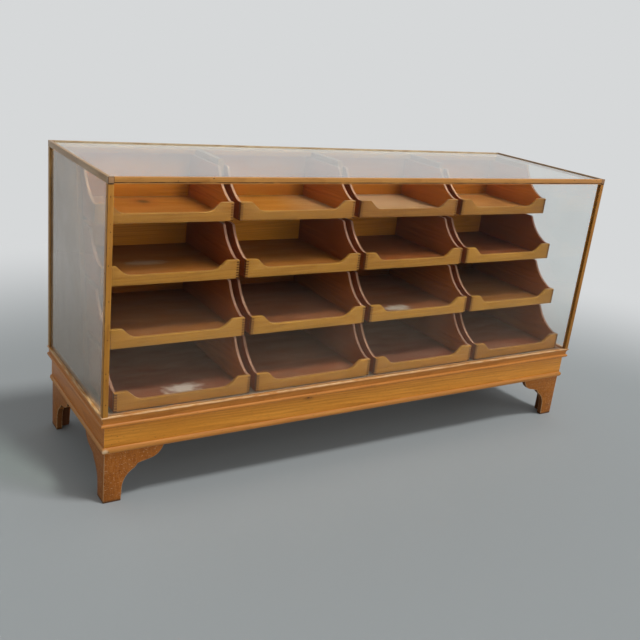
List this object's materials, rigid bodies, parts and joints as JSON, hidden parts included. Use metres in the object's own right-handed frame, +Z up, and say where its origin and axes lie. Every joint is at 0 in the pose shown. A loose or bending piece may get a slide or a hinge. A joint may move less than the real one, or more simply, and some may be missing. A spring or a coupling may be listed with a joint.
{
  "type": "glazed shop counter cabinet",
  "caption": "Free-standing glazed shop counter: open scooped drawers slide out towards the shopkeeper behind fixed glass, on a moulded base with bracket feet.",
  "frame": {"origin": "on the floor, under the middle of the counter's outline", "axes": "+X along the counter to the customer's right, +Y towards the shopkeeper, +Z up"},
  "size_m": [1.836, 0.586, 0.935],
  "materials": {
    "frame_wood": "waxed golden oak",
    "foot_wood": "worn reddish varnish",
    "carcass_wood": "aged plain wood",
    "drawer_wood": "waxed beech",
    "knob_wood": "turned and waxed",
    "glass": "clear float glass"
  },
  "bodies": {
    "case": {"foot_front_left": "foot_wood", "foot_front_right": "foot_wood", "foot_back_left": "foot_wood", "foot_back_right": "foot_wood", "base_frieze": "frame_wood", "base_bead": "frame_wood", "cornice_moulding": "frame_wood", "back_sill": "frame_wood", "case_floor": "carcass_wood", "floor_bearers": "carcass_wood", "post_front_left": "frame_wood", "post_front_right": "frame_wood", "post_back_left": "frame_wood", "post_back_right": "frame_wood", "top_rail_front": "frame_wood", "top_rail_back": "frame_wood", "top_rail_left": "frame_wood", "top_rail_right": "frame_wood", "glass_front": "glass", "glass_left": "glass", "glass_right": "glass", "glass_top": "glass", "side_panel_left": "carcass_wood", "side_panel_right": "carcass_wood", "partitions": "carcass_wood", "rear_rails": "carcass_wood", "runners": "carcass_wood", "drawer_stops": "carcass_wood"},
    "drawer_r1c1": {"drawer_r1c1_box": "drawer_wood", "drawer_r1c1_knob": "knob_wood"},
    "drawer_r1c2": {"drawer_r1c2_box": "drawer_wood", "drawer_r1c2_knob": "knob_wood"},
    "drawer_r1c3": {"drawer_r1c3_box": "drawer_wood", "drawer_r1c3_knob": "knob_wood"},
    "drawer_r1c4": {"drawer_r1c4_box": "drawer_wood", "drawer_r1c4_knob": "knob_wood"},
    "drawer_r2c1": {"drawer_r2c1_box": "drawer_wood", "drawer_r2c1_knob": "knob_wood"},
    "drawer_r2c2": {"drawer_r2c2_box": "drawer_wood", "drawer_r2c2_knob": "knob_wood"},
    "drawer_r2c3": {"drawer_r2c3_box": "drawer_wood", "drawer_r2c3_knob": "knob_wood"},
    "drawer_r2c4": {"drawer_r2c4_box": "drawer_wood", "drawer_r2c4_knob": "knob_wood"},
    "drawer_r3c1": {"drawer_r3c1_box": "drawer_wood", "drawer_r3c1_knob": "knob_wood"},
    "drawer_r3c2": {"drawer_r3c2_box": "drawer_wood", "drawer_r3c2_knob": "knob_wood"},
    "drawer_r3c3": {"drawer_r3c3_box": "drawer_wood", "drawer_r3c3_knob": "knob_wood"},
    "drawer_r3c4": {"drawer_r3c4_box": "drawer_wood", "drawer_r3c4_knob": "knob_wood"},
    "drawer_r4c1": {"drawer_r4c1_box": "drawer_wood", "drawer_r4c1_knob": "knob_wood"},
    "drawer_r4c2": {"drawer_r4c2_box": "drawer_wood", "drawer_r4c2_knob": "knob_wood"},
    "drawer_r4c3": {"drawer_r4c3_box": "drawer_wood", "drawer_r4c3_knob": "knob_wood"},
    "drawer_r4c4": {"drawer_r4c4_box": "drawer_wood", "drawer_r4c4_knob": "knob_wood"}
  },
  "joints": [
    {"name": "drawer_r1c1_slide", "type": "slide", "parent": "case", "child": "drawer_r1c1", "axis": [0, 1, 0], "range_m": [0, 0.296]},
    {"name": "drawer_r1c2_slide", "type": "slide", "parent": "case", "child": "drawer_r1c2", "axis": [0, 1, 0], "range_m": [0, 0.296]},
    {"name": "drawer_r1c3_slide", "type": "slide", "parent": "case", "child": "drawer_r1c3", "axis": [0, 1, 0], "range_m": [0, 0.296]},
    {"name": "drawer_r1c4_slide", "type": "slide", "parent": "case", "child": "drawer_r1c4", "axis": [0, 1, 0], "range_m": [0, 0.296]},
    {"name": "drawer_r2c1_slide", "type": "slide", "parent": "case", "child": "drawer_r2c1", "axis": [0, 1, 0], "range_m": [0, 0.36]},
    {"name": "drawer_r2c2_slide", "type": "slide", "parent": "case", "child": "drawer_r2c2", "axis": [0, 1, 0], "range_m": [0, 0.36]},
    {"name": "drawer_r2c3_slide", "type": "slide", "parent": "case", "child": "drawer_r2c3", "axis": [0, 1, 0], "range_m": [0, 0.36]},
    {"name": "drawer_r2c4_slide", "type": "slide", "parent": "case", "child": "drawer_r2c4", "axis": [0, 1, 0], "range_m": [0, 0.36]},
    {"name": "drawer_r3c1_slide", "type": "slide", "parent": "case", "child": "drawer_r3c1", "axis": [0, 1, 0], "range_m": [0, 0.424]},
    {"name": "drawer_r3c2_slide", "type": "slide", "parent": "case", "child": "drawer_r3c2", "axis": [0, 1, 0], "range_m": [0, 0.424]},
    {"name": "drawer_r3c3_slide", "type": "slide", "parent": "case", "child": "drawer_r3c3", "axis": [0, 1, 0], "range_m": [0, 0.424]},
    {"name": "drawer_r3c4_slide", "type": "slide", "parent": "case", "child": "drawer_r3c4", "axis": [0, 1, 0], "range_m": [0, 0.424]},
    {"name": "drawer_r4c1_slide", "type": "slide", "parent": "case", "child": "drawer_r4c1", "axis": [0, 1, 0], "range_m": [0, 0.488]},
    {"name": "drawer_r4c2_slide", "type": "slide", "parent": "case", "child": "drawer_r4c2", "axis": [0, 1, 0], "range_m": [0, 0.488]},
    {"name": "drawer_r4c3_slide", "type": "slide", "parent": "case", "child": "drawer_r4c3", "axis": [0, 1, 0], "range_m": [0, 0.488]},
    {"name": "drawer_r4c4_slide", "type": "slide", "parent": "case", "child": "drawer_r4c4", "axis": [0, 1, 0], "range_m": [0, 0.488]}
  ]
}
